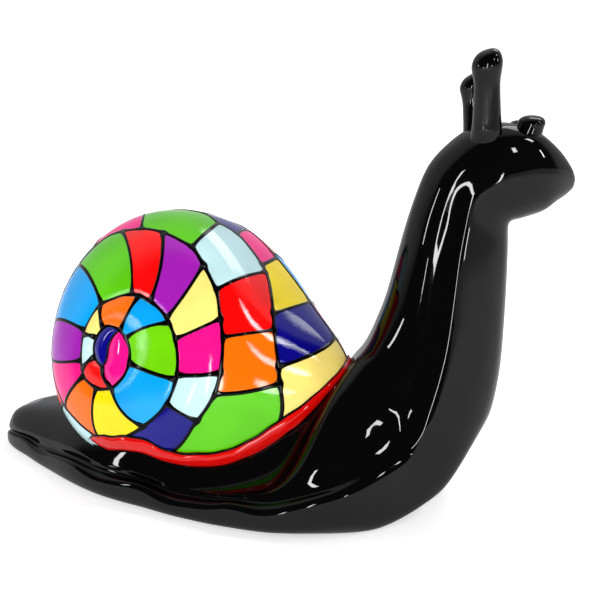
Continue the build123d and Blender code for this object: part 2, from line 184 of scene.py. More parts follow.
# Painted spiral line of the shell, as pixels of the photograph, from the middle outwards
inner_seam_pixels = [
    (103, 366), (96, 358), (94, 347), (97, 337), (102, 330), (107, 326), (113, 327), (120, 331),
    (125, 337), (129, 346), (130, 356), (127, 370), (120, 381), (112, 387), (100, 389), (92, 385),
    (85, 378), (82, 366), (82, 350), (84, 335), (91, 318), (97, 309), (103, 304), (114, 299),
    (133, 295), (149, 301), (162, 312), (171, 326), (176, 343), (178, 362), (176, 381),
    (168, 402), (156, 416), (145, 425), (133, 433), (116, 439), (101, 439), (88, 430), (76, 419),
]
second_seam_pixels = [
    (93, 249), (107, 237), (126, 231), (145, 229), (164, 233), (179, 240), (193, 248), (202, 263),
    (210, 278), (217, 293), (219, 312), (222, 333), (222, 355), (219, 377), (214, 395), (202, 414),
    (193, 425),
]
third_seam_pixels = [
    (205, 213), (217, 222), (238, 233), (250, 247), (263, 265), (269, 278), (272, 297),
    (274, 328), (276, 349), (279, 381), (283, 412),
]
outer_seam_pixels = [(276, 256), (308, 297), (335, 336), (352, 354)]
# Turn at which each run begins, and turn and tau of the line where the photograph hides it
seam_runs = [
    (inner_seam_pixels, 0.12), (second_seam_pixels, 2.38), (third_seam_pixels, 3.5),
    (outer_seam_pixels, 4.57),
]
far_turns = 8.0
hidden_knots = [
    (2.20, 35.5), (2.30, 40), (3.0, 49), (3.14, 56), (3.30, 66), (4.0, 88), (4.2, 97), (4.4, 105),
    (5.0, 121), (5.5, 133), (6.0, 144.5), (6.5, 154), (7.0, 162.5), (7.5, 171.5), (far_turns, 180),
]
seam_softening = 9
samples_per_turn = 480
strip_rows = 22
# Curve between the first two cells, in the middle of the spiral
middle_curve_pixels = [(119, 331), (113, 337), (109, 346), (108, 355), (106, 362), (103, 366)]
# Cells in order along the spiral: a pixel pair on the line before the cell, and its colour
inner_cells = [
    ((103, 367), (112, 386), "red"), ((95, 357), (83, 369), "pale_blue"),
    ((97, 338), (85, 335), "pale_yellow"), ((103, 327), (101, 308), "orange"),
    ((121, 330), (138, 298), "sky_blue"), ((128, 337), (169, 323), "lime"),
    ((130, 363), (174, 379), "sky_blue"), ((112, 388), (141, 425), "yellow"),
    ((96, 390), (99, 437), "orange"), ((81, 379), (67, 402), "pink"),
    ((83, 360), (55, 361), "purple"), ((84, 330), (58, 320), "sky_blue"),
    ((102, 305), (82, 267), "green"), ((132, 294), (124, 233), "red"),
    ((151, 301), (163, 234), "purple"), ((169, 316), (202, 268), "pale_yellow"),
    ((178, 338), (218, 320), "pink"), ((178, 375), (219, 373), "pale_blue"),
    ((169, 405), (195, 420), "navy"),
]
front_cells = [
    ((141, 227), (142, 219), "green"), ((193, 245), (217, 223), "pale_blue"),
    ((217, 289), (262, 272), "red"), ((223, 337), (273, 330), "orange"),
    ((217, 394), (279, 384), "green"),
]
side_cells = [
    ((238, 233), (246, 230), "pink"), ((263, 264), (278, 257), "yellow"),
    ((273, 313), (314, 301), "navy"), ((279, 367), (335, 338), "pale_yellow"),
]
# Hidden cells between those runs: turn and colour, or turns with colours by rote
lower_cells = [
    (2.02, "pale_blue"), (2.13, "red"), (2.22, "yellow"), (2.31, "navy"), (2.385, "pink"),
]
back_turns = np.linspace(2.88, 3.42, 8)
back_last_cells = [(3.49, "navy")]
under_turns = np.arange(3.82, 4.53, 0.068)
under_last_cells = [(4.57, "sky_blue"), (4.645, "pink"), (4.695, "red")]
hidden_colours = ["red", "sky_blue", "yellow", "purple", "pale_blue", "orange", "navy", "lime"]
far_cells_turn = 4.735
far_cell_length = 47
# Black lines: half widths, swelling at the corners and its reach, and heights
seam_half_width = 2.0
joint_half_width = 1.85
corner_swelling = 1.9
corner_reach = 4.2
seam_height = 0.75
joint_height = 0.65

colours = {
    "red": (0.94, 0.002, 0.002), "orange": (1.0, 0.16, 0.002), "yellow": (1.0, 0.76, 0.002),
    "pale_yellow": (1.0, 0.79, 0.20), "lime": (0.16, 0.62, 0.003), "green": (0.11, 0.58, 0.003),
    "sky_blue": (0.002, 0.36, 0.86), "pale_blue": (0.55, 0.80, 0.83), "navy": (0.003, 0.002, 0.21),
    "purple": (0.36, 0.012, 0.44), "pink": (1.0, 0.006, 0.25),
}


def bent(here, after, slope, next_slope, part):
    """Value between two values with a slope at each."""
    return (here * (2 * part**3 - 3 * part**2 + 1) + slope * (part**3 - 2 * part**2 + part)
            + after * (3 * part**2 - 2 * part**3) + next_slope * (part**3 - part**2))


def smooth_between(before, here, after, later, part):
    """Value between the middle two of four neighbours, on a smooth curve through all."""
    return bent(here, after, (after - before) / 2, (later - here) / 2, part)


def finer(rows, steps):
    """Rows of numbers with more between them, on a smooth curve."""
    rows = np.asarray(rows, float)
    last = len(rows) - 1
    out = []
    for at in range(last):
        near = [rows[min(max(at + k, 0), last)] for k in (-1, 0, 1, 2)]
        out += [smooth_between(*near, k / steps) for k in range(steps)]
    return np.array(out + [rows[last]])


def hump(value, centre, width):
    return np.exp(-((value - centre) / width) ** 2)


def softened(rows, reach, width):
    """Rows averaged with their neighbours, up to a reach of rows on either side."""
    weights = hump(np.arange(-reach, reach + 1), 0, width)
    weights = weights / weights.sum()
    padded = np.pad(rows, [(reach, reach)] + [(0, 0)] * (rows.ndim - 1), mode="edge")
    return sum(weight * padded[at:at + len(rows)] for at, weight in enumerate(weights))


def part_way(value, start, length):
    """0 up to the start, 1 from one length further on, and even between."""
    return np.clip((value - start) / length, 0, 1)


def eased(part):
    return part * part * (3 - 2 * part)


def distances(points):
    """Distance of every point of a broken line from its start."""
    return np.concatenate([[0], np.cumsum(np.linalg.norm(np.diff(points, axis=0), axis=1))])


def direction(turn_angle, high_angle):
    """Direction away from the object at a turn round it and a height angle."""
    turn, high = math.radians(turn_angle), math.radians(high_angle)
    return np.array([math.sin(turn) * math.cos(high), -math.cos(turn) * math.cos(high),
                     math.sin(high)])


def added(name, data):
    """New object in the scene."""
    thing = bpy.data.objects.new(name, data)
    bpy.context.scene.collection.objects.link(thing)
    return thing


def unit(vectors):
    return vectors / np.maximum(np.linalg.norm(vectors, axis=-1, keepdims=True), 1e-12)


def to_frame(points):
    return (np.asarray(points) + shift) * metre


# Camera

view_back = direction(view_turn_angle, view_high_angle)
view_right = unit(np.cross([0, 0, 1], view_back))
view_up = np.cross(view_back, view_right)
view_eye = view_target + view_back * view_distance


def pixel_ray(pixel):
    across, down = pixel[0] - picture_centre, pixel[1] - picture_centre
    return unit(view_right * across - view_up * down - view_back * view_focal_pixels)


def make_camera():
    camera = bpy.data.cameras.new("photo_camera")
    camera.sensor_width = sensor_width
    camera.lens = view_focal_pixels / picture_size * sensor_width
    camera.clip_end = 100
    holder = added("photo_camera", camera)
    holder.location = Vector(to_frame(view_eye))
    holder.rotation_euler = Vector(view_back).to_track_quat("Z", "Y").to_euler()
    bpy.context.scene.camera = holder


# Materials

def new_material(name):
    material = bpy.data.materials.new(name)
    material.use_nodes = True
    nodes = material.node_tree.nodes
    return material, nodes, material.node_tree.links, nodes["Principled BSDF"]


def set_inputs(node, values):
    for name, value in values.items():
        node.inputs[name].default_value = value


def noise(nodes, links, source, scale, detail, stretch=(1, 1, 1)):
    """Noise over the object, or over its strip coordinates, drawn out along an axis."""
    place = nodes.new("ShaderNodeTexCoord")
    mapping = nodes.new("ShaderNodeMapping")
    texture = nodes.new("ShaderNodeTexNoise")
    set_inputs(mapping, {"Scale": stretch})
    set_inputs(texture, {"Scale": scale, "Detail": detail})
    links.new(place.outputs[source], mapping.inputs["Vector"])
    links.new(mapping.outputs["Vector"], texture.inputs["Vector"])
    return texture.outputs["Fac"]


def bump(nodes, links, height, strength, distance, under=None):
    node = nodes.new("ShaderNodeBump")
    set_inputs(node, {"Strength": strength, "Distance": distance})
    links.new(height, node.inputs["Height"])
    if under is not None:
        links.new(under, node.inputs["Normal"])
    return node.outputs["Normal"]


def toned(nodes, links, shader, colour, fac, depth):
    """Base colour that drifts a little darker with the noise."""
    ramp = nodes.new("ShaderNodeValToRGB")
    for end, place, share in zip(ramp.color_ramp.elements, (0.35, 0.65), (1 - depth, 1)):
        end.position = place
        end.color = (*[part * share for part in colour], 1)
    links.new(fac, ramp.inputs["Fac"])
    links.new(ramp.outputs["Color"], shader.inputs["Base Color"])


def lacquer(name, colour, brushed, gloss=1.40, coat=1.0):
    """Thick gloss paint with slow waves and, where brushed, fine hair marks.

    Gloss is the refraction of its clear coat, and coat how much of the coat shows.
    """
    material, nodes, links, shader = new_material(name)
    set_inputs(shader, {"Roughness": 0.35, "Specular IOR Level": 0, "Coat Weight": coat,
                        "Coat Roughness": 0.035, "Coat IOR": gloss})
    toned(nodes, links, shader, colour, noise(nodes, links, "Object", 22, 3), 0.10)
    waves = noise(nodes, links, "Object", 26, 2)
    normal = bump(nodes, links, waves, 0.35, 0.0006)
    if brushed:
        hairs = noise(nodes, links, "UV", 1, 4, (620, 5, 1))
        normal = bump(nodes, links, hairs, 0.55, 0.00018, normal)
    links.new(normal, shader.inputs["Coat Normal"])
    links.new(normal, shader.inputs["Normal"])
    return material


def plain_finish(name, colour, roughness, grain, depth, stretch=(1, 1, 1), metallic=0):
    """Finish of a hidden piece: a grained colour with a bump of the same grain."""
    material, nodes, links, shader = new_material(name)
    set_inputs(shader, {"Roughness": roughness, "Metallic": metallic})
    fac = noise(nodes, links, "Object", grain, 6, stretch)
    toned(nodes, links, shader, colour, fac, depth)
    links.new(bump(nodes, links, fac, 0.4, 0.0004), shader.inputs["Normal"])
    return material


# Meshes

def grid_faces(rows, columns, closed=False):
    """Quads of a grid of rows and columns, joined round when closed."""
    faces = []
    for start in range(0, (rows - 1) * columns, columns):
        for column in range(columns if closed else columns - 1):
            after = (column + 1) % columns
            faces.append((start + column, start + after, start + columns + after,
                          start + columns + column))
    return faces


def tube_faces(count, sides):
    """Faces of a row of rings with both ends shut."""
    faces = grid_faces(count, sides, closed=True)
    faces.append(tuple(range(sides - 1, -1, -1)))
    faces.append(tuple((count - 1) * sides + k for k in range(sides)))
    return faces


def make_piece(name, points, faces, materials, slot, replaced=()):
    """Smooth-shaded mesh piece that rides on the root body."""
    mesh = bpy.data.meshes.new(name)
    mesh.from_pydata([tuple(p) for p in to_frame(points)], [], faces)
    mesh.validate()
    for material in materials:
        mesh.materials.append(material)
    mesh.polygons.foreach_set("use_smooth", [True] * len(mesh.polygons))
    piece = added(name, mesh)
    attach(piece, "root")
    if replaced:
        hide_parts(*replaced)
    return piece


def tube(line, outward, half_wide, half_high, sides, power=1.0):
    """Points and faces of a closed tube of oval section along a line of points."""
    line = np.asarray(line)
    along = unit(np.gradient(line, axis=0))
    across = unit(np.cross(along, outward))
    outward = np.cross(across, along)
    turn = np.linspace(0, 2 * math.pi, sides, endpoint=False)
    wide = np.sign(np.cos(turn)) * np.abs(np.cos(turn)) ** power
    high = np.sign(np.sin(turn)) * np.abs(np.sin(turn)) ** power
    rings = (line[:, None] + across[:, None] * (half_wide[:, None] * wide)[..., None]
             + outward[:, None] * (half_high[:, None] * high)[..., None])
    return rings.reshape(-1, 3), [face[::-1] for face in tube_faces(len(line), sides)]


def joined(parts):
    """Several point and face lists as one."""
    points, faces, start = [], [], 0
    for some_points, some_faces in parts:
        points.append(some_points)
        faces += [tuple(index + start for index in face) for face in some_faces]
        start += len(some_points)
    return np.concatenate(points), faces


# Body

def swing_at(reach):
    """How far the middle line has swung to the snail's left at a reach."""
    return math.radians(side_sweep_angle * max(reach, 0) / nose_reach)


def plan_place(reach, height):
    swing = swing_at(reach)
    return [reach * math.cos(swing), reach * math.sin(swing), height]


def heading_at(reach):
    return swing_at(reach) + math.atan(swing_at(reach))


def sideways_at(heading):
    return np.array([-math.sin(heading), math.cos(heading), 0])


def outline_shares(form, rim):
    """Half outline of a section, belly to back, in shares of half width and height.

    Rim is the height of the widest point of neck and head.
    """
    foot = [(0, 0), (0.42, 0), (0.80, 0), (0.972, 0.06), (1, 0.22), (0.982, 0.36),
            (0.945, 0.385), (0.915, 0.375), (0.865, 0.60), (0.56, 0.93), (0, 1)]
    neck = [(0, 0), (0.42, 0.025), (0.74, 0.14), (0.90, 0.29), (0.965, 0.42), (1, rim),
            (0.965, rim + 0.055), (0.91, rim + 0.13), (0.76, rim + 0.27), (0.42, 0.95), (0, 1)]
    head = [(0, 0), (0.36, 0.02), (0.70, 0.12), (0.88, 0.25), (0.97, 0.39), (1, rim),
            (0.99, rim + 0.09), (0.95, rim + 0.19), (0.80, rim + 0.35), (0.44, 0.975), (0, 1)]
    first, second, mix = (foot, neck, form) if form <= 1 else (neck, head, form - 1)
    mixed = np.array(first) * (1 - mix) + np.array(second) * mix
    if form < 1:
        stands = 1 - max(form - 0.6, 0) / 0.4
        mixed[:3] = np.array(foot[:3]) * stands + mixed[:3] * (1 - stands)
    return mixed


def body_stations():
    """Belly point, back point, half width, heading, widest point and form of every section."""
    rows = []
    for along, high, wide, rim in foot_shares:
        reach = -along * tail_reach
        rows.append(plan_place(reach, 0) + plan_place(reach, high * saddle_height)
                    + [wide * foot_half, 0, rim, 0])
    for belly, low, back, high, wide, rim, form in rise_shares:
        heading = heading_at((belly + back) / 2 * nose_reach)
        rows.append(plan_place(belly * nose_reach, low * brow_height)
                    + plan_place(back * nose_reach, high * brow_height)
                    + [wide * foot_half, heading, rim, form])
    return finer(finer(rows, 2), station_steps)


def spaced_curve(values, paces, samples):
    """Smooth curve through values given at uneven paces, level at both ends."""
    paces = np.array(paces)
    slopes = np.gradient(values, paces, axis=0)
    slopes[[0, -1], 1] = 0
    at = np.clip(np.searchsorted(paces, samples, side="right") - 1, 0, len(paces) - 2)
    gap = (paces[at + 1] - paces[at])[:, None]
    part = (samples - paces[at])[:, None] / gap
    return bent(values[at], values[at + 1], slopes[at] * gap, slopes[at + 1] * gap, part)


def body_points():
    """Half outlines of all sections as points, right and left by turns."""
    rows = body_stations()
    samples = np.linspace(0, 1, outline_steps + 1)
    rings = []
    along = distances((rows[:, :3] + rows[:, 3:6]) / 2)
    for row, distance in zip(rows, along):
        belly, back, half, heading, widest, form = row[:3], row[3:6], *row[6:]
        from_end = min(distance, along[-1] - distance)
        rounding = math.sqrt(1 - (1 - min(from_end / end_round, 1)) ** 2)
        draw = end_least_share + (1 - end_least_share) * rounding
        middle = belly + (back - belly) * end_middle_share
        belly = middle + (belly - middle) * draw
        back = middle + (back - middle) * draw
        height = np.linalg.norm(back - belly)
        up = (back - belly) / height
        outline = spaced_curve(outline_shares(form, widest), outline_pace_shares, samples)
        wave = wavy_rim(distance)
        for side in (-1, 1):
            across = sideways_at(heading) * side
            across = unit(across - up * across.dot(up))
            lateral = (outline[:, 0] * half - section_dips(samples, form, side, wave)) * draw
            ring = belly + across * lateral[:, None] + up * (outline[:, 1] * height)[:, None]
            rim = hump(samples, rim_share, rim_width_share) * max(1 - form / rim_end_form, 0)
            ring[:, 2] = np.maximum(ring[:, 2] + wave[side] * rim * draw, 0)
            if side < 0:
                raise_flank(ring, samples)
                lift_front(ring)
            if form > 1.5:
                swell_head(ring)
            rings.append(ring)
    return rings


def lift_front(ring):
    """Raises the underside of the front right off the floor."""
    begun = eased(part_way(ring[:, 0], front_lift_start, front_lift_length))
    ring[:, 2] += front_lift * begun * (1 - part_way(ring[:, 2], 0, front_lift_reach))


def swell_head(ring):
    """Raises the head a little by each stalk and dents it at the mouth and nostril."""
    for reach, sideways, height, size, rise, behind, below in head_swells:
        away = np.linalg.norm(ring - head_place(reach, sideways, height), axis=1)
        outward = unit(ring - head_place(reach - behind, 0, height - below))
        ring += outward * (rise * hump(away, 0, size))[:, None]


def plan_foot():
    """Foot of the collar along the right side: reach, sideways place and height, smoothed."""
    front = collar_line[collar_line[:, 1] < right_side]
    front = front[np.argsort(front[:, 0])]
    reaches = np.arange(front[0, 0], front[-1, 0], foot_line_step)
    places = np.array([np.interp(reaches, front[:, 0], row) for row in front.T[1:]]).T
    soft = softened(places, foot_line_softening, foot_line_softening * 2 / 3)
    return np.array([reaches, *soft.T])


def raise_flank(ring, samples):
    """Carries the right flank from the groove behind the rim up to the foot of the collar."""
    x, y, z = ring.T
    groove = ring[np.searchsorted(samples, groove_share)]
    foot_y, foot_z = (np.interp(x, collar_foot[0], row) for row in collar_foot[1:])
    foot_y = np.maximum(foot_y, groove[1] + flank_least)
    part = part_way(y, groove[1], foot_y - groove[1])
    hollow = part_way(x, flank_turn_reach, flank_turn_length)
    curve = flank_straight + (flank_hollow - flank_straight) * hollow
    height = groove[2] + (foot_z - flank_drop - groove[2]) * part**curve
    weight = part_way(x, flank_start, flank_fade) * part_way(-x, -flank_stop, flank_fade)
    weight = weight * part_way(-y, 0, flank_side_fade) * (samples > groove_share)
    z += (height - z) * eased(weight)


def out_of_sight(points):
    """True for points of the shell that the body or the collar hides."""
    foot = np.interp(points[:, 0], collar_foot[0], collar_foot[2])
    beside = (points[:, 0] > collar_foot[0, 0]) & (points[:, 1] < right_side)
    return (points[:, 2] < hidden_height) | (beside & (points[:, 2] < foot - flank_drop))


def wavy_rim(distance):
    """Rise and fall of the rolled rim on either side, at a distance along the body."""
    return {side: sum(rise * math.cos(2 * math.pi * (distance - crest) / length)
                      for rise, length, crest in waves)
            for side, waves in rim_waves.items()}


def section_dips(samples, form, side, wave):
    """How far the skin draws in beside the rolled rim of the foot and the neck's ridge."""
    foot_part = max(1 - form / rim_end_form, 0)
    neck_part = min(form / rim_end_form, 1) * min(max(2 - form, 0), 1)
    on_foot = (foot_dip + foot_dip_wave_share * wave[side]) * foot_part
    return (on_foot * hump(samples, dip_share, foot_dip_width_share)
            + neck_dip * neck_part * hump(samples, dip_share, neck_dip_width_share))


def make_body(paint):
    """Skin of foot, neck and head, softened along its length for calm reflections."""
    halves = body_points()
    rings = np.array([np.concatenate([right, left[-2:0:-1]])
                      for right, left in zip(halves[0::2], halves[1::2])])
    points = softened(rings, skin_softening, skin_softening * 0.6)
    count, columns = points.shape[:2]
    faces = grid_faces(count, columns, closed=True)
    ends = [points[0].mean(axis=0), points[-1].mean(axis=0)]
    tail, nose = count * columns, count * columns + 1
    for column in range(columns):
        after = (column + 1) % columns
        faces.append((after, column, tail))
        faces.append(((count - 1) * columns + column, (count - 1) * columns + after, nose))
    make_piece("body_skin", np.concatenate([points.reshape(-1, 3), ends]),
               [face[::-1] for face in faces], [paint], "black_lacquer",
               ("body_right_half", "body_left_half"))


# Shell

spire_axis = direction(-axis_back_angle, axis_up_angle)
front_axis = direction(90 - axis_back_angle, 0)
top_axis = np.cross(spire_axis, front_axis)


def ring_radius(angle):
    count = len(ring_shares)
    place = ((angle + 90) / 30) % count
    at = place.astype(int)
    near = [ring_shares[(at + k) % count] for k in (-1, 0, 1, 2)]
    return smooth_between(*near, place - at) * shell_span


def dome_points(tau, angle, grow=0):
    """Points of the smooth shell, for arrays of tau and angle in degrees."""
    tau, angle = np.broadcast_arrays(np.asarray(tau, float), np.asarray(angle, float))
    t, a = np.radians(tau), np.radians(angle)
    blend = np.clip(np.sin(t), 0, 1) ** ring_power_share
    wrapped = (angle + 180) % 360 - 180
    flare = flare_reach * hump(wrapped, 0, flare_width_angle)
    flare = flare * hump(tau, flare_tau_angle, flare_tau_width_angle)
    radius = (apex_radius * (1 - blend) + ring_radius(angle) * blend + grow) * np.sin(t) + flare
    skirt = hump(wrapped, skirt_angle, skirt_width_angle) * hump(tau, skirt_tau, skirt_tau_width)
    radius = radius + skirt_reach * skirt
    height = (np.where(tau <= 90, spire_height, far_height) + grow) * np.cos(t)
    outward = front_axis * np.cos(a)[..., None] + top_axis * np.sin(a)[..., None]
    return shell_centre + spire_axis * height[..., None] + outward * radius[..., None]


def dome_normals(tau, angle):
    """Outward normals of the smooth shell."""
    step = 0.4
    slope = dome_points(tau + step, angle) - dome_points(tau - step, angle)
    a = np.radians(np.asarray(angle, float))
    round_way = dome_points(tau, angle + step) - dome_points(tau, angle - step)
    steady = top_axis * np.cos(a)[..., None] - front_axis * np.sin(a)[..., None]
    small = np.linalg.norm(round_way, axis=-1, keepdims=True) < 1e-6
    return unit(np.cross(slope, np.where(small, steady, round_way)))


def raised(tau, angle, height):
    """Points at a height over the smooth shell."""
    return dome_points(tau, angle) + dome_normals(tau, angle) * height[..., None]


def shell_reader():
    """A function that gives tau and turn share of the shell point that a pixel shows."""
    taus, angles = np.arange(0.5, 180, 1.0), np.arange(0, 360, 2.0)
    points = dome_points(*np.meshgrid(taus, angles, indexing="ij"), whorl_edge)
    faces = grid_faces(len(taus), len(angles), closed=True)
    tree = BVHTree.FromPolygons([Vector(p) for p in points.reshape(-1, 3)], faces)

    def read(pixel):
        spot = tree.ray_cast(Vector(view_eye), Vector(pixel_ray(pixel)))[0]
        if spot is None:
            return None
        offset = np.array(spot) - shell_centre
        height = offset.dot(spire_axis)
        full = (spire_height if height > 0 else far_height) + whorl_edge
        tau = math.degrees(math.acos(max(min(height / full, 1), -1)))
        angle = math.degrees(math.atan2(offset.dot(top_axis), offset.dot(front_axis)))
        return tau, (-(angle + 90) / 360) % 1
    return read


def read_joint(first, second):
    """Both ends of a joint, with the far one drawn in until it lies on the shell."""
    for part in np.linspace(1, 0.3, 15):
        found = read_pixel(np.array(first) * (1 - part) + np.array(second) * part)
        if found is not None:
            return read_pixel(first), found


read_pixel = shell_reader()


def read_run(pixels, first_turn):
    """Turn and tau of a run of pixels along the spiral, with turns counted on from the first."""
    knots = []
    for pixel in pixels:
        found = read_pixel(pixel)
        if found is None:
            continue
        tau, share = found
        before = knots[-1][0] if knots else first_turn
        turn = share + round(before - share)
        if not knots or turn > before + 0.004:
            knots.append((turn, tau))
    return knots


def smoothed_seam():
    """Even samples of the spiral line's tau over all turns, without the hand's jitter."""
    knots = list(hidden_knots)
    for pixels, first_turn in seam_runs:
        knots += read_run(pixels, first_turn)
    knots = np.array(sorted(knots))
    turns = np.arange(knots[0, 0], far_turns + 1.01, 1 / samples_per_turn)
    taus = np.interp(turns, knots[:, 0], knots[:, 1])
    return turns, softened(taus, seam_softening, seam_softening / 2)


seam_turns, seam_taus = smoothed_seam()


def seam_tau(turn):
    return np.interp(turn, seam_turns, seam_taus)


def strip_tau(turn, across):
    """Tau on the way across from the line at a turn to the line one turn later."""
    return seam_tau(turn) * (1 - across) + seam_tau(turn + 1) * across


def angle_of(turn):
    return -90 - 360 * np.asarray(turn, float)


def relief(turn, across):
    """Height of the whorls over the smooth shell: a crown between seams near the spire."""
    edge_here = whorl_edge * (1 - part_way(turn, edge_fade_turn, whorl_fade_turns))
    edge_next = whorl_edge * (1 - part_way(turn + 1, edge_fade_turn, whorl_fade_turns))
    growth = np.maximum(part_way(turn, crown_grow_turn, crown_grow_turns), crown_least_share)
    crown = whorl_crown * (1 - part_way(turn, crown_fade_turn, whorl_fade_turns)) * growth
    return (edge_here * (1 - across) + edge_next * across
            + crown * np.clip(4 * across * (1 - across), 0, 1) ** 0.75)


def strip_point(turn, across, lift=0.0):
    """A point of the painted shell: turn along the spiral, across from this seam to the next."""
    turn, across = np.broadcast_arrays(np.asarray(turn, float), np.asarray(across, float))
    tau = np.clip(strip_tau(turn, across), 0.3, 179.7)
    return raised(tau, angle_of(turn), relief(turn, across) + lift)


def joint_ends(first, second, near_turn):
    """Turn at the inner seam and turn at the outer seam, less one, of a straight joint."""
    (tau, share), (far_tau, far_share) = read_joint(first, second)
    slope = (far_share + round(share - far_share) - share) / (far_tau - tau)
    share += round(near_turn - share)
    inner = outer = share
    for _ in range(12):
        inner = share + slope * (float(seam_tau(inner)) - tau)
        outer = share + slope * (float(seam_tau(outer + 1)) - tau)
    return inner, outer


def plan_cells():
    """All cells as inner turn, outer turn and colour, in order along the spiral."""
    cells = []

    def follow(listed, near_turn):
        for first, second, colour in listed:
            inner, outer = joint_ends(first, second, near_turn)
            cells.append((inner, outer, colour))
            near_turn = inner + 0.07

    def straight(listed):
        cells.extend((turn, turn, colour) for turn, colour in listed)

    def by_rote(turns, first_colour):
        straight((turn, hidden_colours[(first_colour + at) % len(hidden_colours)])
                 for at, turn in enumerate(turns))

    follow(inner_cells, 0.12)
    straight(lower_cells)
    follow(front_cells, 2.46)
    by_rote(back_turns, 0)
    straight(back_last_cells)
    follow(side_cells, 3.56)
    by_rote(under_turns, 3)
    straight(under_last_cells)
    order = list(colours)
    turn, at = far_cells_turn, 2
    while turn < far_turns - 0.1:
        cells.append((turn, turn, order[(at * 4 + int(turn)) % len(order)]))
        radius = shell_span * math.sin(math.radians(min(float(seam_tau(turn)) + 12, 172)))
        turn, at = turn + far_cell_length / (2 * math.pi * radius), at + 1
    return cells


def make_shell(paints):
    """Skin of the shell as one strip that winds along the spiral, coloured cell by cell."""
    cells = plan_cells()
    start = int(math.floor(min(cells[0][:2]) * samples_per_turn))
    stop = int(round(far_turns * samples_per_turn))
    columns = np.arange(start, stop + 1) / samples_per_turn
    across = np.linspace(0, 1, strip_rows + 1)
    turn_grid, across_grid = np.meshgrid(columns, across, indexing="ij")
    points = strip_point(turn_grid, across_grid).reshape(-1, 3)
    faces = np.array(grid_faces(len(columns), strip_rows + 1))[:, [0, 3, 2, 1]]
    last = len(columns) - 1
    middle_turn = (columns[0] + (np.arange(last) + 0.5) / samples_per_turn)[:, None]
    middle_across = (np.arange(strip_rows) + 0.5) / strip_rows
    index = np.full((last, strip_rows), -1)
    for at, (inner, outer, colour) in enumerate(cells):
        edge = inner * (1 - middle_across) + outer * middle_across
        index[middle_turn >= edge] = at
    names = list(colours)
    tones = np.array([names.index(colour) for inner, outer, colour in cells])
    used = (index.ravel() >= 0) & ~out_of_sight(points)[faces].all(axis=1)
    kept, corners = np.unique(faces[used], return_inverse=True)
    piece = make_piece("shell_skin", points[kept], corners.reshape(-1, 4).tolist(),
                       [paints[name] for name in names], "shell_paint",
                       ("shell_spire_half", "shell_far_half"))
    mesh = piece.data
    mesh.polygons.foreach_set("material_index", tones[index.ravel()[used]])
    places = np.stack([turn_grid.ravel()[kept], across_grid.ravel()[kept]], axis=1)
    loops = np.empty(len(mesh.loops), int)
    mesh.loops.foreach_get("vertex_index", loops)
    mesh.uv_layers.new(name="strip").data.foreach_set("uv", places[loops].ravel())
    return cells


def bead(points, normals, widths, height):
    return tube(points, normals, widths, np.full(len(points), height), 10)


def line_beads(turn, across, half_width, away, lift, height):
    """Beads along the runs of a painted line that neither the body nor the collar hides."""
    points = strip_point(turn, across, lift)
    normals = dome_normals(strip_tau(turn, across), angle_of(turn))
    widths = half_width + corner_swelling * hump(away, 0, corner_reach)
    shown = ~out_of_sight(points)
    changes = np.flatnonzero(np.diff(shown.astype(int))) + 1
    runs = np.split(np.arange(len(points)), changes)
    return [bead(points[run], normals[run], widths[run], height)
            for run in runs if shown[run[0]] and len(run) > 2]


def make_lines(cells, paint):
    """Raised black lines: the long spiral and the joints between its cells."""
    turns = np.arange(cells[0][0], 7.9, 1 / 360)
    junctions = np.array([(inner, outer + 1) for inner, outer, colour in cells]).ravel()
    nearest = np.abs(turns[:, None] - junctions).min(axis=1)
    radius = np.maximum(shell_span * np.sin(np.radians(seam_tau(turns))), 12)
    half_width = seam_half_width + 0.25 * np.sin(turns * 37)
    parts = line_beads(turns, np.zeros(len(turns)), half_width, nearest * 2 * math.pi * radius,
                       0.15, seam_height)
    across = np.linspace(0, 1, 24)
    for at, (inner, outer, colour) in enumerate(cells):
        turn = inner * (1 - across) + outer * across
        span = np.clip(seam_tau(turn + 1) - seam_tau(turn), 0, 50) * 1.9
        half_width = joint_half_width + 0.3 * math.sin(at * 2.3)
        parts += line_beads(turn, across, half_width, np.minimum(across, 1 - across) * span,
                            0.1, joint_height)
    make_piece("shell_lines", *joined(parts), [paint], "black_lacquer")


# Middle of the spiral: two cells inside the first turn of the seam

def flat(tau, share):
    """A place on the shell as if its spire were rolled out flat."""
    turn = 2 * math.pi * np.asarray(share)
    return np.stack([tau * np.cos(turn), tau * np.sin(turn)], axis=-1)


def from_flat(places):
    tau = np.linalg.norm(places, axis=-1)
    share = np.arctan2(places[..., 1], places[..., 0]) / (2 * math.pi)
    return np.clip(tau, 0.05, 60), angle_of(share)


def seam_flat(turns):
    return flat(seam_tau(turns), turns)


def evenly(points, count):
    """Points at even distances along a broken line."""
    along = distances(points)
    at = np.linspace(0, along[-1], count)
    return np.array([np.interp(at, along, row) for row in points.T]).T


def lens(first, second, count, rows):
    """Surface between two curves with the same ends."""
    part = np.linspace(0, 1, rows)[:, None, None]
    tau, angle = from_flat(evenly(first, count) * (1 - part) + evenly(second, count) * part)
    along = np.linspace(0, 1, count)
    crown = middle_crown * np.sin(np.pi * part[..., 0]) * np.sin(np.pi * along) ** 0.5
    return raised(tau, angle, whorl_edge + crown).reshape(-1, 3), grid_faces(rows, count)


